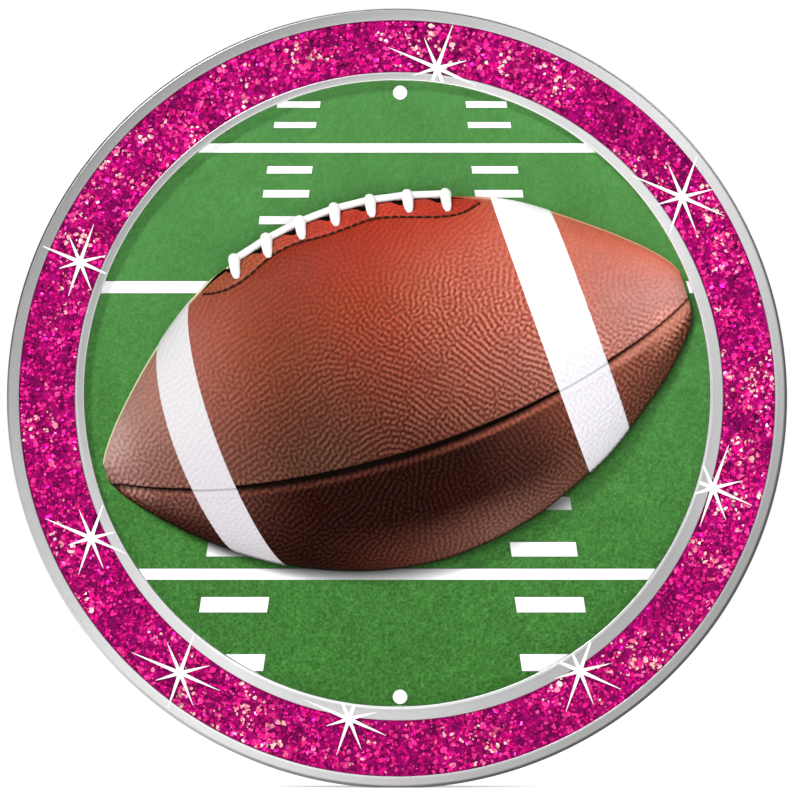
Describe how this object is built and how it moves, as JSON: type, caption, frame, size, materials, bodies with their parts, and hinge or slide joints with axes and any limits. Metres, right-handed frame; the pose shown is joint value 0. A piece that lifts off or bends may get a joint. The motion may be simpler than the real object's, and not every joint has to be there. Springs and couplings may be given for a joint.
{
  "type": "round football award emblem",
  "caption": "Round raised emblem of a football on a turf field inside a glitter ring and silver rims, with a flat adhesive back, for a medal, trophy or plaque recess.",
  "frame": {"origin": "centre of the flat back face of the adhesive pad", "axes": "+Z to the top of the picture, -Y out of the face, +X to the right seen from the front"},
  "size_m": [0.0508, 0.0075, 0.0508],
  "materials": {
    "foam": "closed-cell foam",
    "plate": "brushed",
    "silver": "circular brushed",
    "glitter": "clear resin full of glitter",
    "foil": "white foil",
    "turf": "short flock",
    "chalk": "matt paint",
    "core": "moulded",
    "leather": "pebbled",
    "stripe": "painted on leather",
    "thread": "waxed thread",
    "lace": "vinyl lace"
  },
  "bodies": {
    "root": {"adhesive_pad": "foam", "back_plate": "plate", "outer_bezel": "silver", "glitter_ring": "glitter", "sparkle_stars": "foil", "inner_ring": "silver", "field_disc": "turf", "yard_lines": "chalk", "hash_marks": "chalk", "dot_marks": "chalk", "ball_core": "core", "lower_panel": "leather", "upper_panel": "leather", "left_stripe": "stripe", "right_stripe": "stripe", "seam_cord": "thread", "lace_strip": "leather", "lace_stitching": "thread", "lace_cord": "lace", "lace_bars": "lace"}
  },
  "joints": []
}
